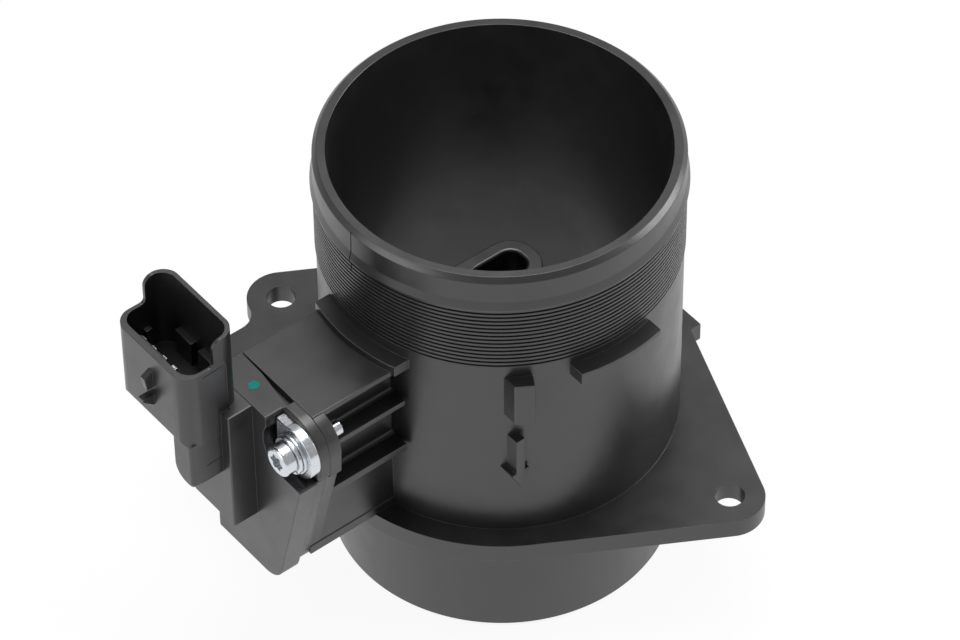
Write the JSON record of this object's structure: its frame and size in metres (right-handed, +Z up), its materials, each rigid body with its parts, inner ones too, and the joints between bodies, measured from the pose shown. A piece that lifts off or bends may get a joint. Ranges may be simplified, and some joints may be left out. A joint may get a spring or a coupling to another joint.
{
  "type": "mass air flow sensor",
  "caption": "Round intake air duct with a two-hole flange and a plug-in hot-film air flow sensor module screwed to its side.",
  "frame": {"origin": "on the duct axis in the plane of the lower spigot's end face", "axes": "+Z up the duct axis towards the hose end, -X towards the sensor module, -Y towards the side with the flow arrow"},
  "size_m": [0.1472, 0.1354, 0.1211],
  "materials": {
    "housing_plastic": "moulded, satin, black glass-filled PBT",
    "module_plastic": "moulded, satin, black glass-filled PBT",
    "seal_rubber": "moulded, matt",
    "board_laminate": "glass-epoxy laminate with solder resist",
    "chip_package": "moulded, matt",
    "capacitor_ceramic": "fired, satin",
    "sensor_ceramic": "fired, matt alumina",
    "film_silicon": "polished",
    "thermistor_coating": "dipped, gloss",
    "lead_wire": "tinned",
    "contact_metal": "stamped, tin plated",
    "insert_brass": "turned",
    "zinc_steel": "bright zinc plated"
  },
  "bodies": {
    "root": {"capacitor_1": "capacitor_ceramic", "capacitor_2": "capacitor_ceramic", "capacitor_3": "capacitor_ceramic", "circuit_board": "board_laminate", "clamp_plate_1": "zinc_steel", "clamp_plate_2": "zinc_steel", "contact_1": "contact_metal", "contact_2": "contact_metal", "contact_3": "contact_metal", "contact_4": "contact_metal", "contact_5": "contact_metal", "contact_6": "contact_metal", "electronics_lid": "module_plastic", "flat_washer_1": "zinc_steel", "flat_washer_2": "zinc_steel", "heated_film": "film_silicon", "housing_seal": "seal_rubber", "module_screw_1": "zinc_steel", "module_screw_2": "zinc_steel", "sensor_housing": "module_plastic", "sensor_plate": "sensor_ceramic", "signal_chip": "chip_package", "spring_washer_1": "zinc_steel", "spring_washer_2": "zinc_steel", "thermistor_bead": "thermistor_coating", "thermistor_lead_1": "lead_wire", "thermistor_lead_2": "lead_wire", "threaded_insert_1": "insert_brass", "threaded_insert_2": "insert_brass", "tube_housing": "housing_plastic"}
  },
  "joints": []
}
